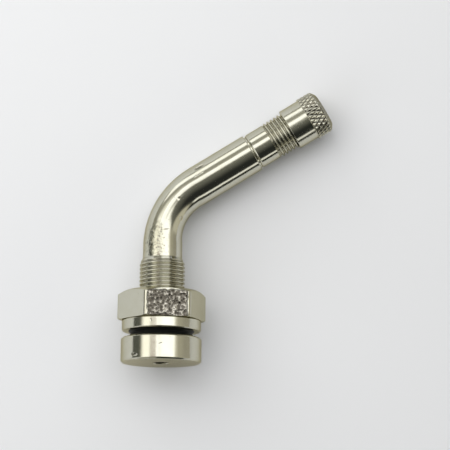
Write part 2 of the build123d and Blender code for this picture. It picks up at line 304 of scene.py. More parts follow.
# %% Add the floor
floor_mesh = bpy.data.meshes.new("floor")
half_floor = 4.0
floor_corners = [(x * half_floor, y * half_floor, 0) for x, y in ((-1, -1), (1, -1), (1, 1), (-1, 1))]
floor_mesh.from_pydata(floor_corners, [], [(0, 1, 2, 3)])
floor = bpy.data.objects.new("floor", floor_mesh)
bpy.context.scene.collection.objects.link(floor)
floor_finish = bpy.data.materials.new("pale_studio_floor")
floor_finish.use_nodes = True
floor_shader = floor_finish.node_tree.nodes["Principled BSDF"]
floor_shader.inputs["Base Color"].default_value = linear("#eef0f5")
floor_shader.inputs["Roughness"].default_value = 0.9
floor_shader.inputs["Specular IOR Level"].default_value = 0.1
floor_mesh.materials.append(floor_finish)
print("floor is", 2 * half_floor, "m wide")

# %% [markdown]
# ## Patterns measured in millimetres
# A finish has to stay put when its piece moves, so its patterns read Object coordinates. A Mapping node
# turns them into the piece's own axes in millimetres. Then a turning line runs round the piece, and a size
# in a pattern is a size on the bench. Every finish starts with these coordinates, and ends in the same
# inputs of the shader.


# %% Start and end a finish
def own_axes(tree, origin, axes):
    """Object coordinates in millimetres about a piece's own axes."""
    turn = Matrix(np.array(axes).T.tolist()).to_euler()
    coordinates = add(tree, "ShaderNodeTexCoord").outputs["Object"]
    return add(tree, "ShaderNodeMapping", {
        "Vector": coordinates, "Location": list(origin), "Rotation": list(turn), "Scale": [MM, MM, MM],
    }, vector_type="TEXTURE")


def new_finish(name, place):
    """A new material, its node tree, and coordinates in the piece's own axes."""
    finish = bpy.data.materials.new(name)
    finish.use_nodes = True
    return finish, finish.node_tree, own_axes(finish.node_tree, *place)


def fill_shader(tree, tone, rough, height, metallic):
    """Gives the shader a colour, a roughness and a height in millimetres."""
    shader = tree.nodes["Principled BSDF"]
    bump = add(tree, "ShaderNodeBump", {"Height": height, "Strength": 1.0, "Distance": MM})
    tree.links.new(tone.outputs[2], shader.inputs["Base Color"])
    tree.links.new(rough.outputs[0], shader.inputs["Roughness"])
    tree.links.new(bump.outputs[0], shader.inputs["Normal"])
    shader.inputs["Metallic"].default_value = metallic
    return shader


stem_place = (base_centre, stem_axes)
arm_place = (corner, np.array([arm_side, across, arm_axis]))
print("patterns follow two sets of axes")

# %% [markdown]
# ## Nickel plate
# Nickel on polished brass is a warm, slightly yellow grey mirror. Close up it isn't quite flat. The plate
# has a faint orange peel, there are turning lines under it, and fine hairlines and dark pores from
# handling. All of these are heights of a few thousandths of a millimetre, so they go into a Bump node and
# not into the mesh.


# %% Build the plated finish
swell_height = 0.012
peel_height = 0.0028
grit_height = 0.0007
line_height = 0.0011
pore_depth = 0.012


def plated(name, place, peel=1.0, lines=1.0, roughness=0.13, marks=(), rough_zone=None, groove_shade_amount=0.35):
    """Nickel-plated brass. marks are dents, rough_zone is a badly pitted patch that may carry painted glints,
    and the last argument sets how dark the painted shade in the cuts gets.
    """
    finish, tree, here = new_finish(name, place)
    swell = add(tree, "ShaderNodeTexNoise", {"Vector": here, "Scale": 0.45, "Detail": 1.0})
    peel_noise = add(tree, "ShaderNodeTexNoise", {"Vector": here, "Scale": 2.6, "Detail": 2.0})
    grit = add(tree, "ShaderNodeTexNoise", {"Vector": here, "Scale": 9.0, "Detail": 3.0})
    stretched = add(tree, "ShaderNodeMapping", {"Vector": here, "Scale": [0.35, 0.35, 16.0]})
    turning = add(tree, "ShaderNodeTexNoise", {"Vector": stretched, "Scale": 1.0, "Detail": 2.0})

    height = add(tree, "ShaderNodeMath", {0: swell, 1: swell_height}, operation="MULTIPLY")
    layers = ((peel_noise, peel_height * peel), (grit, grit_height * peel), (turning, line_height * lines))
    for layer, amount in layers:
        height = add(tree, "ShaderNodeMath", {0: layer, 1: amount, 2: height}, operation="MULTIPLY_ADD")
    worn = None
    for mark in marks:
        worn = mark(tree, worn)
    if worn is not None:
        height = add(tree, "ShaderNodeMath", {0: height, 1: worn}, operation="ADD")

    rough = add(tree, "ShaderNodeMapRange", {
        0: grit, 1: 0.3, 2: 0.7, 3: roughness - 0.035, 4: roughness + 0.05,
    })
    if rough_zone is not None:
        zone, look = rough_zone(tree, here)
        pits = add(tree, "ShaderNodeTexVoronoi", {
            "Vector": here, "Scale": look["grain"], "Smoothness": 0.7,
        }, feature="SMOOTH_F1")
        lumps = add(tree, "ShaderNodeTexNoise", {
            "Vector": here, "Scale": look["grain"], "Detail": look["detail"], "Roughness": 0.55,
        })
        lumps = add(tree, "ShaderNodeMath", {0: pits, 1: 0.55, 2: lumps}, operation="MULTIPLY_ADD")
        lumps = add(tree, "ShaderNodeMath", {0: lumps, 1: zone}, operation="MULTIPLY")
        height = add(tree, "ShaderNodeMath", {0: lumps, 1: look["depth"], 2: height},
                     operation="MULTIPLY_ADD")

    cells = add(tree, "ShaderNodeTexVoronoi", {"Vector": here, "Scale": 1.1, "Randomness": 1.0})
    pore = add(tree, "ShaderNodeMapRange", {0: cells, 1: 0.05, 2: 0.11, 3: 1.0, 4: 0.0}, **smooth)
    chosen = add(tree, "ShaderNodeMath", {0: peel_noise, 1: 0.56}, operation="GREATER_THAN")
    pore = add(tree, "ShaderNodeMath", {0: pore, 1: chosen}, operation="MULTIPLY")
    pore = add(tree, "ShaderNodeMath", {0: pore, 1: 0.75}, operation="MULTIPLY")
    height = add(tree, "ShaderNodeMath", {0: pore, 1: -pore_depth, 2: height}, operation="MULTIPLY_ADD")

    tone = add(tree, "ShaderNodeMix", {0: swell, 6: linear("#c4c2b0"), 7: linear("#cdccbf")},
               data_type="RGBA")
    # Shade is painted into the colour (#57534a) where the attribute sunk marks a cut groove, the deeper the
    # darker, and on the cap's crown.
    sunk = add(tree, "ShaderNodeAttribute", attribute_name="sunk").outputs["Fac"]
    # The attribute bare marks the stem's bore: bare brass whose colour is painted nearly black (#2e2414) as
    # the shade inside the hole.
    bare = add(tree, "ShaderNodeAttribute", attribute_name="bare").outputs["Fac"]
    painted_sunk_shade = add(tree, "ShaderNodeMapRange", {0: sunk, 1: 0.4, 2: 1.0, 3: 0.0, 4: groove_shade_amount})
    stains_and_painted_light = [] if rough_zone is None else [(zone, look["tone"])]
    stains_and_painted_light += [(pore, "#4a4132"), (painted_sunk_shade, "#57534a"), (bare, "#2e2414")]
    if worn is not None:
        dulled = add(tree, "ShaderNodeMapRange", {0: worn, 1: -0.02, 2: -0.12, 3: 0.0, 4: 0.7})
        stains_and_painted_light.append((dulled, "#4d483c"))
    if rough_zone is not None:
        # The first entry darkens the hollows of the pits. The second paints highlights (#f2eee2) on the
        # ridges round them, as strong as the glint value.
        for start, end, most, chart in ((0.32, 0.12, 0.8, "#35322c"), (0.48, 0.66, look["glint"], "#f2eee2")):
            share = add(tree, "ShaderNodeMapRange", {0: pits, 1: start, 2: end, 3: 0.0, 4: most})
            stains_and_painted_light.append((add(tree, "ShaderNodeMath", {0: share, 1: zone}, operation="MULTIPLY"), chart))
    for share, chart in stains_and_painted_light:
        tone = add(tree, "ShaderNodeMix", {0: share, 6: tone.outputs[2], 7: linear(chart)}, data_type="RGBA")

    shader = fill_shader(tree, tone, rough, height, 1.0)
    shader.inputs["Specular Tint"].default_value = linear("#cdc6ac")
    return finish


# %% [markdown]
# ## Marks
# The photograph shows a few honest marks: two bites of a clamp on the arm, two dents in the elbow, a short
# line on the tube, specks on the washer, and a nick and a line on the base. Each one is a soft-edged hollow
# in the height of the plate, in the shape of a lens that is placed, turned and stretched by a Mapping node.
# The deeper a hollow is, the darker it gets.


# %% A dent in the plate
def dent(centre, along, half_sizes, depth):
    """A hollow of this depth in mm. along is the direction of its length."""
    outward = np.array(picture_back)
    first = np.array(along) / np.linalg.norm(along)
    third = outward - (outward @ first) * first
    third = third / np.linalg.norm(third)
    second = np.cross(third, first)
    turn = Matrix(np.array([first, second, third]).T.tolist()).to_euler()

    def build(tree, worn):
        coordinates = add(tree, "ShaderNodeTexCoord").outputs["Object"]
        lens = add(tree, "ShaderNodeMapping", {
            "Vector": coordinates, "Location": list(centre), "Rotation": list(turn),
            "Scale": [size * MM for size in half_sizes],
        }, vector_type="TEXTURE")
        away = add(tree, "ShaderNodeVectorMath", {0: lens}, operation="LENGTH").outputs["Value"]
        hollow = add(tree, "ShaderNodeMapRange", {0: away, 1: 0.2, 2: 1.0, 3: -depth, 4: 0.0}, **smooth)
        return hollow if worn is None else add(tree, "ShaderNodeMath", {0: hollow, 1: worn}, operation="ADD")

    return build


def on_tube(distance, degrees, radius=tube_radius):
    """A point on the tube's skin, from its distance along the valve and its angle round it."""
    angle = math.radians(degrees)
    return along_valve(np.array([[radius * math.cos(angle), radius * math.sin(angle), distance]]))[0]


bend_along = stem_axis + arm_axis
stem_marks = (
    dent(on_tube(arm_distance(10.2), -125), arm_axis, (1.6, 0.4, 1.6), 0.13),
    dent(on_tube(arm_distance(9.5), -104), arm_axis, (1.3, 0.22, 0.8), 0.05),
    dent(on_tube(bend_start + 9.4, -80), bend_along, (0.45, 0.35, 0.8), 0.03),
    dent(on_tube(bend_start + 5.9, -36), bend_along, (0.6, 0.45, 0.8), 0.05),
    dent(on_tube(26.4, -72), stem_side, (0.6, 0.16, 0.6), 0.02),
    dent(on_tube(1.0, -121, base_radius), stem_side, (1.0, 0.45, 0.8), 0.09),
    dent(on_tube(3.0, -82, base_radius), stem_side + 0.4 * stem_axis, (0.45, 0.1, 0.6), 0.03),
)
washer_marks = (dent(on_tube(7.5, -96, washer_radius), stem_axis, (0.5, 0.2, 0.7), 0.05),)
print("marks placed:", len(stem_marks) + len(washer_marks))

# %% [markdown]
# ## Turned pieces
# Everything round starts as an outline: corner points as radius and height, each with the radius of its
# edge. Real edges are never sharp, and it is the rounding that catches the light. A point close to each
# side of a rounded edge keeps the flat next to it flat when the shading is smooth.


# %% Round the corners of an outline
def outline(corners, steps=3, guard=0.05, is_loop=True):
    """Points round an outline. A corner is (radius, height, edge radius, rows after it, cut after it)."""
    points, cuts = [], []
    count = len(corners)
    full = [tuple(c) + (0.0, 1, 0)[len(c) - 2:] for c in corners]
    places = [np.array(c[:2], float) for c in full]
    spans = []
    for i, (_, _, edge, _, _) in enumerate(full):
        here = places[i]
        if not is_loop and i in (0, count - 1) or edge == 0:
            spans.append([here])
            continue
        back = places[i - 1] - here
        ahead = places[(i + 1) % count] - here
        back_length, ahead_length = np.linalg.norm(back), np.linalg.norm(ahead)
        back, ahead = back / back_length, ahead / ahead_length
        half = math.acos(max(-1.0, min(1.0, back @ ahead))) / 2
        room = min(edge / math.tan(half), 0.45 * back_length, 0.45 * ahead_length)
        radius = room * math.tan(half)
        middle = here + (back + ahead) / np.linalg.norm(back + ahead) * radius / math.sin(half)
        start, end = here + back * room, here + ahead * room
        first, last = start - middle, end - middle
        sweep = math.acos(max(-1.0, min(1.0, first @ last / radius ** 2)))
        arc = [start + back * min(guard, 0.3 * room)]
        for k in range(steps + 1):
            share = k / steps
            part = math.sin((1 - share) * sweep) * first + math.sin(share * sweep) * last
            arc.append(middle + part / math.sin(sweep))
        arc.append(end + ahead * min(guard, 0.3 * room))
        spans.append(arc)
    for i, (_, _, _, rows, cut) in enumerate(full):
        points += spans[i]
        cuts += [0] * len(spans[i])
        if not is_loop and i == count - 1:
            break
        start, end = spans[i][-1], spans[(i + 1) % count][0]
        if cut:
            cuts[-1] = cut
        for k in range(1, rows):
            points.append(start + (end - start) * k / rows)
            cuts.append(cut)
    return np.array(points), np.array(cuts)


# %% Skin a grid of points
def grid_mesh(name, rings, cuts=None, is_loop=True):
    """A closed mesh from rings of points. A ring that has shrunk to the axis becomes one point."""
    rows, columns, _ = rings.shape
    vertices, index, weights = [], [], []
    for row in range(rows):
        is_pole = np.hypot(rings[row, :, 0], rings[row, :, 1]).max() < 1e-6
        start = len(vertices)
        vertices += rings[row, :1].tolist() if is_pole else rings[row].tolist()
        index.append([start] * columns if is_pole else list(range(start, start + columns)))
        weights += [0 if cuts is None else int(cuts[row])] * (1 if is_pole else columns)
    faces = []
    for row in range(rows if is_loop else rows - 1):
        low, high = index[row], index[(row + 1) % rows]
        for column in range(columns):
            beside = (column + 1) % columns
            loop = [low[column], low[beside], high[beside], high[column]]
            faces.append(list(dict.fromkeys(loop)))
    mesh = bpy.data.meshes.new(name)
    mesh.from_pydata(vertices, [], faces)
    if cuts is not None:
        layer = mesh.attributes.new("cut", "FLOAT", "POINT")
        layer.data.foreach_set("value", np.array(weights, np.float32))
    face_outwards(mesh)
    return mesh


def face_outwards(mesh):
    """Points every face of a closed mesh outwards and makes the shading smooth."""
    work = bmesh.new()
    work.from_mesh(mesh)
    bmesh.ops.recalc_face_normals(work, faces=work.faces)
    work.to_mesh(mesh)
    work.free()
    mesh.shade_smooth()


def turned(name, corners, columns, is_loop=True, steps=3):
    """A round piece about its own axis, from the corners of its outline."""
    points, cuts = outline(corners, steps=steps, is_loop=is_loop)
    angles = np.arange(columns) * 2 * math.pi / columns
    radius, height = points[:, :1], points[:, 1:]
    rings = np.stack([radius * np.cos(angles), radius * np.sin(angles), np.repeat(height, columns, 1)], 2)
    return grid_mesh(name, rings, cuts, is_loop)


# %% Put a mesh in the frame
def coordinates_of(mesh):
    """The mesh's points as an array."""
    flat = np.zeros(len(mesh.vertices) * 3)
    mesh.vertices.foreach_get("co", flat)
    return flat.reshape(-1, 3)


def place(name, mesh, lay, body, slot, finish, *stands_for):
    """Lays a mesh with the function lay, and makes it a piece that rides on a body."""
    mesh.vertices.foreach_set("co", lay(coordinates_of(mesh)).ravel())
    mesh.update()
    mesh.materials.clear()
    mesh.materials.append(finish)
    piece = bpy.data.objects.new(name, mesh)
    bpy.context.scene.collection.objects.link(piece)
    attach(piece, body)
    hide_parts(*stands_for)
    print(name, "has", sum(len(p.vertices) - 2 for p in mesh.polygons), "triangles")
    return piece


# %% [markdown]
# ## Screw threads by rule
# A thread is a groove that climbs one pitch for each turn, so it follows a rule: the depth at a point
# depends only on its height and its angle. Geometry Nodes can apply the rule to any turned blank. A blank
# carries an attribute named cut on the rows where the tool works. An outside thread cuts down to the groove
# and never adds metal, so it runs out on a chamfer as a real one does. The inside thread of the nut or cap
# is the same groove seen from the other side, a hair wider, so that the two fit at every turn.


# %% Build the thread tool
def new_tool(name, numbers, flags=()):
    """A node tree for a modifier, with a geometry input, numbers, flags and a material."""
    tree = bpy.data.node_groups.new(name, "GeometryNodeTree")
    tree.interface.new_socket("Geometry", in_out="INPUT", socket_type="NodeSocketGeometry")
    for number in numbers:
        tree.interface.new_socket(number, in_out="INPUT", socket_type="NodeSocketFloat")
    for flag in flags:
        tree.interface.new_socket(flag, in_out="INPUT", socket_type="NodeSocketBool")
    tree.interface.new_socket("Material", in_out="INPUT", socket_type="NodeSocketMaterial")
    tree.interface.new_socket("Geometry", in_out="OUTPUT", socket_type="NodeSocketGeometry")
    return tree


def from_middle(tree, phase):
    """How far a phase is from the middle of its turn, from 0 to a half."""
    in_turn = add(tree, "ShaderNodeMath", {0: phase}, operation="FRACT")
    off = add(tree, "ShaderNodeMath", {0: in_turn, 1: 0.5}, operation="SUBTRACT")
    return add(tree, "ShaderNodeMath", {0: off}, operation="ABSOLUTE")


def finish_tool(tree, given, radius, target, xyz, groove):
    """Moves the rows that are cut to the target radius, notes how deep they are, and sets the material."""
    cut = add(tree, "GeometryNodeInputNamedAttribute", {"Name": "cut"}, data_type="FLOAT")
    chosen = add(tree, "FunctionNodeCompare", {0: cut.outputs["Attribute"], 1: 0.5}, data_type="FLOAT",
                 operation="GREATER_THAN")
    share = add(tree, "ShaderNodeMath", {0: target, 1: radius}, operation="DIVIDE")
    x = add(tree, "ShaderNodeMath", {0: xyz.outputs["X"], 1: share}, operation="MULTIPLY")
    y = add(tree, "ShaderNodeMath", {0: xyz.outputs["Y"], 1: share}, operation="MULTIPLY")
    moved = add(tree, "ShaderNodeCombineXYZ", {"X": x, "Y": y, "Z": xyz.outputs["Z"]})
    shaped = add(tree, "GeometryNodeSetPosition", {
        "Geometry": given.outputs["Geometry"], "Selection": chosen, "Position": moved,
    })
    noted = add(tree, "GeometryNodeStoreNamedAttribute", {
        "Geometry": shaped, "Selection": chosen, "Name": "sunk", "Value": groove,
    }, data_type="FLOAT", domain="POINT")
    real = add(tree, "GeometryNodeRealizeInstances", {"Geometry": noted})
    dressed = add(tree, "GeometryNodeSetMaterial", {"Geometry": real, "Material": given.outputs["Material"]})
    add(tree, "NodeGroupOutput", {"Geometry": dressed})


def polar(tree):
    """The nodes that give a point's coordinates, its distance from the axis and its share of a turn."""
    position = add(tree, "GeometryNodeInputPosition")
    xyz = add(tree, "ShaderNodeSeparateXYZ", {0: position})
    flat = add(tree, "ShaderNodeVectorMath", {0: position, 1: (1.0, 1.0, 0.0)}, operation="MULTIPLY")
    radius = add(tree, "ShaderNodeVectorMath", {0: flat}, operation="LENGTH").outputs["Value"]
    angle = add(tree, "ShaderNodeMath", {0: xyz.outputs["Y"], 1: xyz.outputs["X"]}, operation="ARCTAN2")
    turns = add(tree, "ShaderNodeMath", {0: angle, 1: 2 * math.pi}, operation="DIVIDE")
    return xyz, radius, turns


def make_thread_tool():
    tree = new_tool("cut_screw_thread", ["Pitch", "Crest radius", "Depth", "Start"], ["Inside"])
    given = add(tree, "NodeGroupInput")
    xyz, radius, turns = polar(tree)
    height = add(tree, "ShaderNodeMath", {0: xyz.outputs["Z"], 1: given.outputs["Start"]},
                 operation="SUBTRACT")
    climbs = add(tree, "ShaderNodeMath", {0: height, 1: given.outputs["Pitch"]}, operation="DIVIDE")
    phase = add(tree, "ShaderNodeMath", {0: climbs, 1: turns}, operation="SUBTRACT")
    distance = from_middle(tree, phase)
    groove = add(tree, "ShaderNodeMapRange", {0: distance, 1: 0.42, 2: 0.07, 3: 0.0, 4: 1.0}, **smooth)
    sunk = add(tree, "ShaderNodeMath", {0: groove, 1: given.outputs["Depth"]}, operation="MULTIPLY")
    wanted = add(tree, "ShaderNodeMath", {0: given.outputs["Crest radius"], 1: sunk}, operation="SUBTRACT")
    outside = add(tree, "ShaderNodeMath", {0: radius, 1: wanted}, operation="MINIMUM")
    inside = add(tree, "ShaderNodeMath", {0: radius, 1: wanted}, operation="MAXIMUM")
    target = add(tree, "GeometryNodeSwitch", {
        "Switch": given.outputs["Inside"], "False": outside, "True": inside,
    }, input_type="FLOAT")
    finish_tool(tree, given, radius, target, xyz, groove)
    return tree


def run_tool(mesh, tree, cut_number, values):
    """Runs a tool on the rows with this cut number, and returns the finished plain mesh."""
    layer = mesh.attributes["cut"]
    kept = np.zeros(len(mesh.vertices), np.float32)
    layer.data.foreach_get("value", kept)
    layer.data.foreach_set("value", (np.abs(kept - cut_number) < 0.5).astype(np.float32))
    holder = bpy.data.objects.new("blank", mesh)
    bpy.context.scene.collection.objects.link(holder)
    modifier = holder.modifiers.new("tool", "NODES")
    modifier.node_group = tree
    for item in tree.interface.items_tree:
        if item.in_out == "INPUT" and item.name in values:
            modifier[item.identifier] = values[item.name]
    bpy.context.view_layer.update()
    evaluated = holder.evaluated_get(bpy.context.evaluated_depsgraph_get())
    finished = bpy.data.meshes.new_from_object(evaluated)
    finished.name = mesh.name
    holder.modifiers.remove(modifier)
    bpy.data.objects.remove(holder)
    finished.attributes["cut"].data.foreach_set("value", kept)
    return finished


def cut_thread(mesh, cut_number, finish, thread, crest, start, inside=False):
    """Cuts a thread, given as its pitch and depth, with the thread tool."""
    pitch, depth = thread
    return run_tool(mesh, thread_tool, cut_number, {
        "Pitch": pitch, "Crest radius": crest, "Depth": depth, "Start": start, "Inside": inside,
        "Material": finish,
    })


thread_tool = make_thread_tool()
tyre_thread = (25.4 / 32, 0.42)
core_thread = (25.4 / 36, 0.24)
thread_depth = tyre_thread[1]
clearance = 0.05
print("thread tool has", len(thread_tool.nodes), "nodes")

# %% [markdown]
# ## Finishes of this valve
# The same plate goes on every piece, but each piece was worked in its own way. The stem was polished and
# pitted above its thread, the nut was milled from hex bar and one of its flats came out rough, and the cap
# is bright.


# %% Zones where the plate is pitted
def pitted_tube(tree, here):
    """The front of the tube just above the clamping thread."""
    xyz = add(tree, "ShaderNodeSeparateXYZ", {0: here})
    height = smooth_window(tree, xyz.outputs["Z"], 21.3, 27.0, 1.2)
    facing = add(tree, "ShaderNodeMapRange", {0: xyz.outputs["Y"], 1: -1.0, 2: -2.6}, **smooth)
    leftwards = add(tree, "ShaderNodeMapRange", {0: xyz.outputs["X"], 1: 1.9, 2: 0.4}, **smooth)
    zone = add(tree, "ShaderNodeMath", {0: height, 1: facing}, operation="MULTIPLY")
    zone = add(tree, "ShaderNodeMath", {0: zone, 1: leftwards}, operation="MULTIPLY")
    return zone, {"grain": 1.9, "detail": 3.0, "depth": 0.085, "tone": "#c6c4b2", "glint": 0.0}


def rough_flat(tree, here):
    """The flat of the nut that faces up: its colour is a painted dark reflection with painted highlights on
    the ridges round its darker hollows, and it has a smooth left edge.
    """
    outward = add(tree, "ShaderNodeVectorMath", {0: here, 1: flat_outward}, operation="DOT_PRODUCT")
    sideways = add(tree, "ShaderNodeVectorMath", {0: here, 1: flat_sideways}, operation="DOT_PRODUCT")
    height = add(tree, "ShaderNodeSeparateXYZ", {0: here}).outputs["Z"]
    zone = add(tree, "ShaderNodeMapRange", {0: outward.outputs["Value"], 1: 7.68, 2: 7.73}, **smooth)
    wander = add(tree, "ShaderNodeTexNoise", {"Vector": here, "Scale": 0.9, "Detail": 3.0})
    for value, low, high in ((sideways.outputs["Value"], -3.95, 3.9), (height, 8.35, 13.5)):
        edge = add(tree, "ShaderNodeMath", {0: wander, 1: 0.8, 2: value}, operation="MULTIPLY_ADD")
        inside = smooth_window(tree, edge, low + 0.4, high + 0.4, 0.2)
        zone = add(tree, "ShaderNodeMath", {0: zone, 1: inside}, operation="MULTIPLY")
    return zone, {"grain": 1.75, "detail": 2.0, "depth": 0.42, "tone": "#7a756c", "glint": 0.6}


nut_turned = 17.5
upper_flat = 4
flat_angle = math.radians(nut_turned + 30 + 60 * upper_flat)
flat_outward = (math.cos(flat_angle), math.sin(flat_angle), 0.0)
flat_sideways = (-math.sin(flat_angle), math.cos(flat_angle), 0.0)
stem_finish = plated("nickel_plate_on_bent_stem", stem_place, lines=0.5, roughness=0.11,
                     marks=stem_marks, rough_zone=pitted_tube)
washer_finish = plated("nickel_plate_on_turned_washer", stem_place, peel=1.4, lines=1.2, marks=washer_marks)
nut_finish = plated("nickel_plate_on_hex_bar", stem_place, peel=0.8, lines=1.6, roughness=0.12,
                    rough_zone=rough_flat)
# The cap's cuts and crown get a darker painted shade.
cap_finish = plated("nickel_plate_on_cap", arm_place, peel=0.8, lines=0.8, roughness=0.14, groove_shade_amount=0.85)
print("plated finishes:", [m.name for m in (stem_finish, washer_finish, nut_finish, cap_finish)])

# %% [markdown]
# ## Rubber, bare brass and spring steel
# The seals are moulded black rubber, which is dull with a faint sheen and a fine moulding grain. The core's
# parts are small brass turnings without plate, and its spring is drawn steel wire.


# %% Build the other finishes
def plain_finish(name, place, dark, light, grain, bump_height, roughness, metallic):
    """A finish whose colour wanders between two tones with a fine grain."""
    finish, tree, here = new_finish(name, place)
    clouds = add(tree, "ShaderNodeTexNoise", {"Vector": here, "Scale": 0.8, "Detail": 3.0})
    fine = add(tree, "ShaderNodeTexNoise", {"Vector": here, "Scale": grain, "Detail": 2.0})
    tone = add(tree, "ShaderNodeMix", {0: clouds, 6: linear(dark), 7: linear(light)}, data_type="RGBA")
    rough = add(tree, "ShaderNodeMapRange", {
        0: fine, 1: 0.3, 2: 0.7, 3: roughness - 0.06, 4: roughness + 0.06,
    })
    height = add(tree, "ShaderNodeMath", {0: fine, 1: bump_height}, operation="MULTIPLY")
    fill_shader(tree, tone, rough, height, metallic)
    return finish


rubber = plain_finish("moulded_black_rubber", stem_place, "#090b0a", "#121513", 7.0, 0.01, 0.5, 0.0)
gasket_rubber = plain_finish("moulded_gasket_rubber", arm_place, "#161817", "#242625", 9.0, 0.006, 0.6, 0.0)
brass = plain_finish("turned_bare_brass", arm_place, "#c8a25c", "#dbb972", 11.0, 0.002, 0.26, 1.0)
spring_steel = plain_finish("drawn_spring_steel", arm_place, "#a9acae", "#c2c5c7", 14.0, 0.001, 0.24, 1.0)
rubber.node_tree.nodes["Principled BSDF"].inputs["Specular IOR Level"].default_value = 0.25
print("other finishes:", [m.name for m in (rubber, gasket_rubber, brass, spring_steel)])

# %% [markdown]
# ## The stem
# The stem is one piece of metal, so it is one closed skin: up the outside from the base to the mouth, then
# back down the bore to the air hole in the base. It is turned straight, threaded with the thread tool at
# both ends and inside the mouth, and only then bent, in the same order as in the workshop.

# %% Turn, thread and bend the stem
tip_radius = 3.85
collar_radius = 3.69
groove_radius = 3.44
core_bore = 2.66
chamber_radius = 2.05
groove_start, collar_start, shoulder = arm_distance(20.8), arm_distance(21.25), arm_distance(25.3)
mouth_end = arm_distance(mouth)
thread_rows = 190
stem_corners = [
    (1.8, 0.0, 0.05), (7.7, 0.0, 0.12), (base_radius, 0.3, 0.12, 3), (base_radius, 4.6, 0.12),
    (7.7, base_height, 0.1, 2), (thread_radius, base_height, 0.0, thread_rows, 1),
    (thread_radius, thread_top - thread_taper, 0.0, 16, 1), (tube_radius, thread_top, 0.2, 4),
    (tube_radius, bend_start, 0.0, 36), (tube_radius, bend_end, 0.0, 12),
    (tube_radius, groove_start - 0.05, 0.03), (3.86, groove_start + 0.02, 0.0),
    (groove_radius, groove_start + 0.08, 0.06), (groove_radius, collar_start - 0.1, 0.05),
    (3.56, collar_start, 0.0), (collar_radius, collar_start + 0.28, 0.04, 4),
    (collar_radius, shoulder - 0.1, 0.04), (3.5, shoulder - 0.02, 0.02), (3.58, shoulder + 0.02, 0.0, 10, 2),
    (tip_radius, shoulder + 0.5, 0.0, 110, 2),
    (tip_radius, mouth_end - 0.5, 0.0, 8, 2), (3.35, mouth_end, 0.06, 2),
    (3.0, mouth_end, 0.05), (core_bore, mouth_end - 0.34, 0.0, 60, 3), (core_bore, arm_distance(30.3), 0.0),
    (2.7, arm_distance(30.0), 0.0), (chamber_radius, arm_distance(28.5), 0.1, 3),
    (chamber_radius, arm_distance(17.9), 0.1), (bore_radius, arm_distance(17.0), 0.1, 4),
    (bore_radius, bend_end, 0.0, 20), (bore_radius, bend_start, 0.0, 6), (bore_radius, 0.25, 0.05),
]
core_thread_crest = 2.9
stem_mesh = turned("stem_body", stem_corners, 120)
stem_mesh = cut_thread(stem_mesh, 1, stem_finish, tyre_thread, thread_radius, 0.0)
stem_mesh = cut_thread(stem_mesh, 2, stem_finish, tyre_thread, tip_radius, mouth_end)
stem_mesh = cut_thread(stem_mesh, 3, stem_finish, core_thread, core_thread_crest, mouth_end, inside=True)
straight = coordinates_of(stem_mesh)
# The narrow bore is bare brass, and its colour is painted nearly black as the shade inside the hole.
bore_shade_layer = stem_mesh.attributes.new("bare", "FLOAT", "POINT")
in_shaded_bore = np.hypot(straight[:, 0], straight[:, 1]) < bore_radius + 0.05
bore_shade_layer.data.foreach_set("value", in_shaded_bore.astype(np.float32))
place("stem_body", stem_mesh, along_valve, "stem", "plated_brass", stem_finish, "stem")

# %% [markdown]
# ## Seal and washer
# The seal is squeezed between base and washer, and its rim is drawn in to a waist. The washer is a thick
# turned ring with small rounded edges.

# %% Turn the seal and the washer
seal_bore, seal_rim, seal_waist = 4.575, 6.55, 6.1
seal_corners = [
    (seal_bore, base_height), (seal_rim, base_height, 0.04), (seal_waist, 5.75, 0.06),
    (seal_rim, washer_bottom, 0.03), (seal_bore, washer_bottom),
]
place("rim_seal_ring", turned("rim_seal_ring", seal_corners, 96), on_stem, "stem", "seal_rubber", rubber,
      "rim_seal")
washer_bore, washer_face = 4.675, 7.65
washer_corners = [
    (washer_bore, washer_bottom, 0.1), (washer_face, washer_bottom, 0.1), (washer_radius, 6.45, 0.1, 3),
    (washer_radius, 8.2, 0.1), (washer_face, nut_bottom, 0.1), (washer_bore, nut_bottom, 0.1),
]
place("clamp_washer", turned("clamp_washer", washer_corners, 120, steps=4), on_stem, "washer", "plated_brass",
      washer_finish, "flat_washer")

# %% [markdown]
# ## The hex nut
# A hex nut is a hexagonal bar with its ends turned to a cone, and the cone is what makes the curved edge at
# the top of each flat. So each column of points gets its own outline: the distance to the flat in that
# direction says where the cone meets it. The bore is threaded with the same tool as the stem.

# %% Work out the hexagon
across_flats = 15.5
corner_round = 0.9
half_flat = across_flats / 2
round_from = math.atan((half_flat - corner_round) * math.tan(math.radians(30)) / half_flat)


def hex_radius(angle):
    """How far the rounded hexagon is from its axis, at an angle measured from the middle of a flat."""
    if abs(angle) <= round_from:
        return half_flat / math.cos(angle)
    centre = (half_flat - corner_round) / math.cos(math.radians(30))
    off = math.radians(30) - abs(angle)
    return centre * math.cos(off) + math.sqrt(corner_round ** 2 - (centre * math.sin(off)) ** 2)


flat_steps = [-0.97, -0.8, -0.6, -0.4, -0.2, 0.0, 0.2, 0.4, 0.6, 0.8, 0.97]
one_flat = [round_from * share for share in flat_steps]
one_corner = [round_from + (math.radians(60) - 2 * round_from) * k / 5 for k in range(6)]
print("a corner of the nut stands", round(hex_radius(math.radians(30)), 3), "mm from the axis")

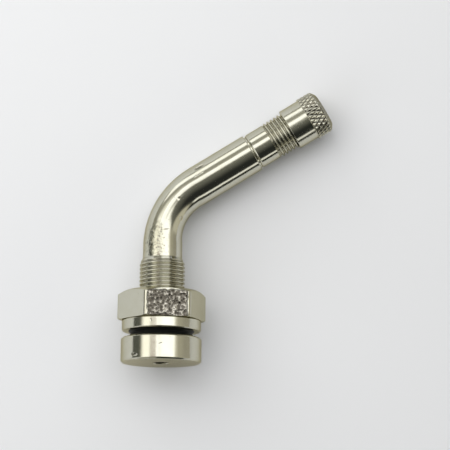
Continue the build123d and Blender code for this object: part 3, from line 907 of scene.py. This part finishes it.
# %% Build and thread the nut
nut_crest = thread_radius + clearance
nut_bore = nut_crest - thread_depth
nut_mouth = 4.975
mouth_chamfer = 0.85
cone = math.tan(math.radians(30))
cone_from = 7.45
foot_radius = 8.45
nut_rings = []
for side in range(6):
    middle = math.radians(nut_turned + 30 + 60 * side)
    for angle in one_flat + one_corner:
        folded = angle if angle <= math.radians(30) else angle - math.radians(60)
        reach = hex_radius(folded)
        low = min(foot_radius, reach - 0.1)
        corners = [
            (nut_bore, nut_bottom + mouth_chamfer, 0.0, 48, 1), (nut_bore, nut_top - mouth_chamfer, 0.0),
            (nut_mouth, nut_top, 0.05), (cone_from, nut_top, 0.12, 2),
            (reach, nut_top - (reach - cone_from) * cone, 0.09, 4),
            (reach, nut_bottom + (reach - low) * cone, 0.07), (low, nut_bottom, 0.05, 2),
            (nut_mouth, nut_bottom, 0.05),
        ]
        points, nut_cuts = outline(corners, steps=3)
        turn = middle + angle
        radius, height = points.T
        nut_rings.append(np.stack([radius * math.cos(turn), radius * math.sin(turn), height], 1))
nut_mesh = grid_mesh("clamp_nut", np.stack(nut_rings, 1), nut_cuts)
nut_mesh = cut_thread(nut_mesh, 1, nut_finish, tyre_thread, nut_crest, 0.0, inside=True)
place("clamp_nut", nut_mesh, on_stem, "nut", "plated_brass", nut_finish, "hex_nut")

# %% [markdown]
# ## The knurled cap
# Fingers turn the cap, so its head is knurled: two sets of straight grooves cross at 60 degrees and leave a
# net of small diamonds. That is a rule too, so a second tool cuts it. A groove of one set climbs to the
# left, one of the other set to the right, and at each point the deeper of the two counts.


# %% Build the knurl tool
def make_knurl_tool():
    tree = new_tool("cut_diamond_knurl", ["Grooves", "Lead", "Outer radius", "Depth", "Flat"])
    given = add(tree, "NodeGroupInput")
    xyz, radius, turns = polar(tree)
    around = add(tree, "ShaderNodeMath", {0: turns, 1: given.outputs["Grooves"]}, operation="MULTIPLY")
    along = add(tree, "ShaderNodeMath", {0: xyz.outputs["Z"], 1: given.outputs["Lead"]}, operation="DIVIDE")
    depths = []
    for operation in ("ADD", "SUBTRACT"):
        phase = add(tree, "ShaderNodeMath", {0: around, 1: along}, operation=operation)
        depths.append(add(tree, "ShaderNodeMapRange", {
            0: from_middle(tree, phase), 1: given.outputs["Flat"], 2: 0.5, 3: 0.0, 4: 1.0,
        }))
    deepest = add(tree, "ShaderNodeMath", {0: depths[0], 1: depths[1]}, operation="MAXIMUM")
    sunk = add(tree, "ShaderNodeMath", {0: deepest, 1: given.outputs["Depth"]}, operation="MULTIPLY")
    wanted = add(tree, "ShaderNodeMath", {0: given.outputs["Outer radius"], 1: sunk}, operation="SUBTRACT")
    target = add(tree, "ShaderNodeMath", {0: radius, 1: wanted}, operation="MINIMUM")
    finish_tool(tree, given, radius, target, xyz, deepest)
    return tree


knurl_tool = make_knurl_tool()
print("knurl tool has", len(knurl_tool.nodes), "nodes")

# %% Turn, thread and knurl the cap
cap_rim, knurl_start, knurl_end = 29.6, 33.8, 36.8
skirt_radius, knurl_radius, knurl_depth = 4.225, 4.475, 0.23
cap_crest = tip_radius + clearance
cap_bore = cap_crest - thread_depth
cap_inside, cap_thread_end = 36.6, 35.0
knurl_grooves = 30
knurl_lead = 2 * math.pi * knurl_radius / knurl_grooves / math.tan(math.radians(30))
crown_round, crown_lean, crown_steps = 1.1, 55, 8
crown_room = crown_round * math.tan(math.radians(crown_lean / 2))
crown = []
for step in range(crown_steps + 1):
    lean = math.radians(crown_lean - crown_lean * step / crown_steps)
    crown.append((knurl_radius - crown_round * (1 - math.cos(lean)),
                  knurl_end - crown_room + crown_round * math.sin(lean), 0.0, 2, 1))
cap_corners = [
    (0.0, 37.7, 0.0, 3), (3.404, 37.55, 0.35), *crown[:-1], crown[-1][:3] + (60, 1),
    (knurl_radius, knurl_start, 0.05), (skirt_radius, knurl_start, 0.03, 4), (skirt_radius, cap_rim, 0.1),
    (cap_crest, cap_rim, 0.03), (cap_bore, cap_rim + thread_depth, 0.0, 62, 2),
    (cap_bore, cap_thread_end, 0.0), (cap_crest, cap_thread_end + thread_depth, 0.0),
    (cap_crest, cap_inside, 0.15, 2), (0.0, cap_inside),
]
cap_mesh = turned("knurled_cap", cap_corners, 360, is_loop=False)
cap_mesh = run_tool(cap_mesh, knurl_tool, 1, {
    "Grooves": float(knurl_grooves), "Lead": knurl_lead, "Outer radius": knurl_radius, "Depth": knurl_depth,
    "Flat": 0.07, "Material": cap_finish,
})
cap_mesh = cut_thread(cap_mesh, 2, cap_finish, tyre_thread, cap_crest, mouth, inside=True)
straight = coordinates_of(cap_mesh)
cap_sunk_and_crown_shade = np.zeros(len(straight), np.float32)
cap_mesh.attributes["sunk"].data.foreach_get("value", cap_sunk_and_crown_shade)
# The crown is marked as if it were sunk, so that shade is painted on it as in the cuts.
crown_shade = np.clip((straight[:, 2] - knurl_end) / 0.3, 0, 1)
crown_shade = crown_shade * (np.hypot(straight[:, 0], straight[:, 1]) > 3.3)
cap_sunk_and_crown_shade = np.maximum(cap_sunk_and_crown_shade, 0.8 * crown_shade).astype(np.float32)
cap_mesh.attributes["sunk"].data.foreach_set("value", cap_sunk_and_crown_shade)
place("knurled_cap", cap_mesh, on_arm, "cap", "plated_brass", cap_finish, "valve_cap")

# %% Turn the cap's gasket
hole, rim = 2.0, 3.65
gasket_corners = [(hole, mouth, 0.1), (rim, mouth, 0.12), (rim, cap_inside, 0.12), (hole, cap_inside, 0.1)]
place("cap_gasket_ring", turned("cap_gasket_ring", gasket_corners, 96), on_arm, "cap_seal", "seal_rubber",
      gasket_rubber, "cap_gasket")

# %% [markdown]
# ## The valve core
# The core's parts are drawn in full in the solid model, and they are a few millimetres long, so most of
# them stay as they are. They only need their finishes: bare brass for the plug, barrel, pin and cup, and
# rubber for the two seals.

# %% Dress the core
core_finishes = [
    (brass, "bare_brass", ["core_plug", "core_barrel", "core_pin", "core_cup"]),
    (gasket_rubber, "seal_rubber", ["core_gasket", "core_cup_seal"]),
]
for finish, slot, names in core_finishes:
    for name in names:
        node = frame["nodes"][name]
        node.data.materials.clear()
        node.data.materials.append(finish)
    print(slot, "dresses", names)

# %% [markdown]
# ## The core's spring
# The pin's collar presses on the spring, and the spring stays on the barrel, so it has to get shorter as
# the pin goes in. It is wound here from round wire.

# %% Wind the spring
wire_radius, coil_radius, coil_turns = 0.14, 0.875, 4.5
spring_node = frame["nodes"]["core_spring"]
spring_points = np.array([spring_node.matrix_world @ v.co for v in spring_node.data.vertices])
spring_heights = (spring_points - corner) @ arm_axis / MM
spring_bottom, spring_top = spring_heights.min(), spring_heights.max()
wire_steps, wire_sides = 160, 12
turn = np.linspace(0, 2 * math.pi * coil_turns, wire_steps)[:, None, None]
rise = np.linspace(spring_bottom + wire_radius, spring_top - wire_radius, wire_steps)[:, None, None]
about = np.linspace(0, 2 * math.pi, wire_sides, endpoint=False)[None, :, None]
from_axis = coil_radius + wire_radius * np.cos(about)
rings = np.concatenate([
    from_axis * np.cos(turn), from_axis * np.sin(turn), rise + wire_radius * np.sin(about),
], 2)
faces = [list(range(wire_sides)), list(range((wire_steps - 1) * wire_sides, wire_steps * wire_sides))]
for step in range(wire_steps - 1):
    for side in range(wire_sides):
        here, beside = step * wire_sides + side, step * wire_sides + (side + 1) % wire_sides
        faces.append([here, beside, beside + wire_sides, here + wire_sides])
spring_mesh = bpy.data.meshes.new("core_spring_coil")
spring_mesh.from_pydata(rings.reshape(-1, 3).tolist(), [], faces)
face_outwards(spring_mesh)
spring = place("core_spring_coil", spring_mesh, on_arm, "core", "spring_steel", spring_steel, "core_spring")
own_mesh(spring)
